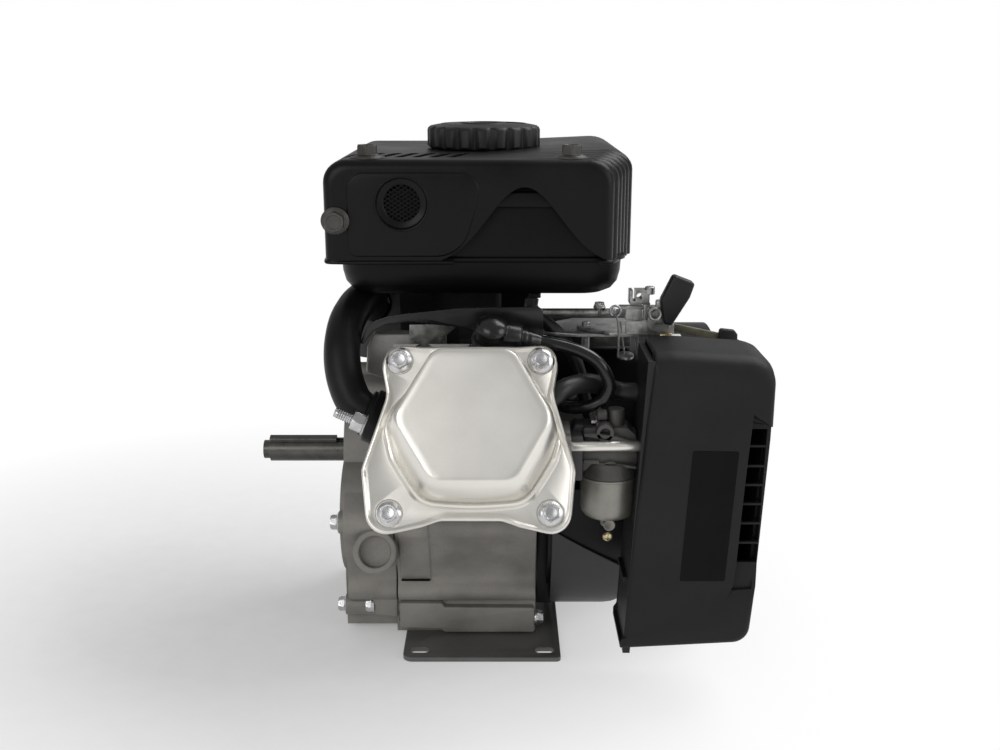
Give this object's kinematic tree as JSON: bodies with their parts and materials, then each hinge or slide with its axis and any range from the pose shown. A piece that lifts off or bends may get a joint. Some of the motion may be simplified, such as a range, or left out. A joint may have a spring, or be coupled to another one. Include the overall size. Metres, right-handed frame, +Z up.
{
  "type": "small gasoline engine",
  "caption": "Single-cylinder overhead-valve gasoline engine with a horizontal keyed drive shaft, top fuel tank, recoil starter and slotted mounting plate.",
  "frame": {"origin": "centre of the mounting slots, on the underside of the mounting plate", "axes": "+Z up from the mounting face, -X along the drive shaft out of the engine, -Y towards the cylinder head"},
  "size_m": [0.3072, 0.3031, 0.3218],
  "materials": {
    "alloy_casting": "die cast, dull",
    "machined_steel": "machined",
    "dark_steel": "dark, satin",
    "black_paint": "black, semi-gloss",
    "zinc": "bright zinc plate",
    "zinc_cover": "satin zinc plate, pressed sheet",
    "yellow_zinc": "yellow zinc plate",
    "rubber": "matte",
    "gasket": "compressed fibre",
    "cast_iron": "honed",
    "bright_alloy": "cast and machined",
    "black_plastic": "fine grain",
    "grey_plastic": "satin",
    "ceramic": "glazed",
    "filter_paper": "pleated",
    "brass": "satin",
    "mesh_steel": "woven",
    "exhaust_black": "heat-proof black, satin",
    "exhaust_steel": "aluminised"
  },
  "bodies": {
    "engine_block": {"crankcase": "alloy_casting", "side_cover": "alloy_casting", "gaskets": "gasket", "mounting_plate": "dark_steel", "case_bolts": "zinc", "oil_seals": "rubber", "main_bearings": "machined_steel", "cylinder_liner": "cast_iron", "cylinder_head": "alloy_casting", "head_bolts": "dark_steel", "rocker_cover": "zinc_cover", "rocker_cover_bolts": "zinc", "rocker_shaft": "machined_steel", "valve_springs": "machined_steel", "spark_plug": "ceramic", "plug_boot": "rubber", "ignition_lead": "rubber", "ignition_coil": "black_plastic", "piston": "bright_alloy", "blower_housing": "black_paint", "cylinder_shroud": "black_paint", "recoil_housing": "black_paint", "fuel_tank": "grey_plastic", "tank_cover": "black_plastic", "vent_mesh": "mesh_steel", "tank_bolts": "dark_steel", "tank_bracket": "black_paint", "hoses": "rubber", "muffler": "exhaust_steel", "exhaust_elbow": "exhaust_black", "port_studs": "zinc", "insulator": "black_plastic", "carburettor_body": "bright_alloy", "float_bowl": "bright_alloy", "air_cleaner_base": "black_plastic", "filter_element": "filter_paper", "control_plate": "zinc"},
    "crankshaft": {"crankshaft": "machined_steel", "shaft_key": "dark_steel", "flywheel": "alloy_casting", "cooling_fan": "grey_plastic", "starter_cup": "zinc"},
    "connecting_rod": {"connecting_rod": "bright_alloy", "rod_cap": "bright_alloy"},
    "camshaft": {"camshaft": "cast_iron"},
    "intake_valve": {"intake_valve": "machined_steel"},
    "exhaust_valve": {"exhaust_valve": "machined_steel"},
    "intake_rocker": {"intake_rocker": "machined_steel"},
    "exhaust_rocker": {"exhaust_rocker": "machined_steel"},
    "intake_pushrod": {"intake_pushrod": "machined_steel"},
    "exhaust_pushrod": {"exhaust_pushrod": "machined_steel"},
    "recoil_pulley": {"recoil_pulley": "grey_plastic"},
    "starter_handle": {"starter_handle": "rubber"},
    "fuel_cap": {"fuel_cap": "black_plastic"},
    "throttle_lever": {"throttle_lever": "zinc"},
    "throttle_shaft": {"throttle_shaft": "zinc"},
    "choke_lever": {"choke_lever": "yellow_zinc"},
    "governor_arm": {"governor_arm": "zinc"},
    "dipstick": {"dipstick": "black_plastic"},
    "air_cleaner_cover": {"air_cleaner_cover": "black_plastic"}
  },
  "joints": [
    {"name": "crank_spin", "type": "hinge", "parent": "engine_block", "child": "crankshaft", "pos_m": [0, 0.019, 0.105], "axis": [1, 0, 0], "continuous": true},
    {"name": "rod_swing", "type": "hinge", "parent": "crankshaft", "child": "connecting_rod", "pos_m": [-0.0045, 0.00178, 0.11303], "axis": [1, 0, 0], "continuous": true},
    {"name": "cam_spin", "type": "hinge", "parent": "engine_block", "child": "camshaft", "pos_m": [-0.05, -0.01981, 0.07676], "axis": [1, 0, 0], "continuous": true},
    {"name": "intake_valve_lift", "type": "slide", "parent": "engine_block", "child": "intake_valve", "axis": [0, 0.9063, -0.4226], "range_m": [0, 0.004], "stiffness_N_per_m": 3000, "deforming": ["valve_springs"]},
    {"name": "intake_rocker_tilt", "type": "hinge", "parent": "engine_block", "child": "intake_rocker", "pos_m": [0.008, -0.14972, 0.16271], "axis": [-1, 0, 0], "range_deg": [0, 11]},
    {"name": "intake_pushrod_lift", "type": "slide", "parent": "engine_block", "child": "intake_pushrod", "axis": [0, -0.9063, 0.4226], "range_m": [0, 0.0042]},
    {"name": "exhaust_valve_lift", "type": "slide", "parent": "engine_block", "child": "exhaust_valve", "axis": [0, 0.9063, -0.4226], "range_m": [0, 0.004], "stiffness_N_per_m": 3000, "deforming": ["valve_springs"]},
    {"name": "exhaust_rocker_tilt", "type": "hinge", "parent": "engine_block", "child": "exhaust_rocker", "pos_m": [-0.017, -0.14972, 0.16271], "axis": [-1, 0, 0], "range_deg": [0, 11]},
    {"name": "exhaust_pushrod_lift", "type": "slide", "parent": "engine_block", "child": "exhaust_pushrod", "axis": [0, -0.9063, 0.4226], "range_m": [0, 0.0042]},
    {"name": "recoil_spin", "type": "hinge", "parent": "engine_block", "child": "recoil_pulley", "pos_m": [0.112, 0.019, 0.105], "axis": [-1, 0, 0], "range_deg": [0, 1020], "stiffness_Nm_per_rad": 0.01},
    {"name": "starter_pull", "type": "slide", "parent": "engine_block", "child": "starter_handle", "axis": [0, 1, 0], "range_m": [0, 0.52]},
    {"name": "fuel_cap_lift", "type": "slide", "parent": "engine_block", "child": "fuel_cap", "axis": [0, 0, 1], "range_m": [0, 0.05]},
    {"name": "throttle_turn", "type": "hinge", "parent": "engine_block", "child": "throttle_lever", "pos_m": [0.103, -0.072, 0.214], "axis": [0, 1, 0], "range_deg": [0, 50]},
    {"name": "throttle_shaft_turn", "type": "hinge", "parent": "engine_block", "child": "throttle_shaft", "pos_m": [0.066, -0.10797, 0.14766], "axis": [0, 0, 1], "range_deg": [0, 76]},
    {"name": "governor_turn", "type": "hinge", "parent": "engine_block", "child": "governor_arm", "pos_m": [0.062, -0.058, 0.204], "axis": [0, 0, 1], "range_deg": [0, 12.5]},
    {"name": "choke_turn", "type": "hinge", "parent": "engine_block", "child": "choke_lever", "pos_m": [0.107, -0.05, 0.206], "axis": [0, 0, 1], "range_deg": [0, 35]},
    {"name": "dipstick_lift", "type": "slide", "parent": "engine_block", "child": "dipstick", "axis": [0, 0.9063, 0.4226], "range_m": [0, 0.06]},
    {"name": "air_cleaner_cover_pull", "type": "slide", "parent": "engine_block", "child": "air_cleaner_cover", "axis": [1, 0, 0], "range_m": [0, 0.08]}
  ],
  "couplings": [
    {"joint": "rod_swing", "follows": "crank_spin", "ratio": -1},
    {"joint": "cam_spin", "follows": "crank_spin", "ratio": -0.5},
    {"joint": "starter_pull", "follows": "recoil_spin", "m_per_rad": 0.028},
    {"joint": "throttle_shaft_turn", "follows": "throttle_turn", "ratio": 1.5},
    {"joint": "governor_turn", "follows": "throttle_turn", "ratio": 0.25},
    {"joint": "intake_rocker_tilt", "follows": "intake_valve_lift", "rad_per_m": 43.478},
    {"joint": "intake_pushrod_lift", "follows": "intake_valve_lift", "ratio": 1},
    {"joint": "exhaust_rocker_tilt", "follows": "exhaust_valve_lift", "rad_per_m": 43.478},
    {"joint": "exhaust_pushrod_lift", "follows": "exhaust_valve_lift", "ratio": 1}
  ]
}
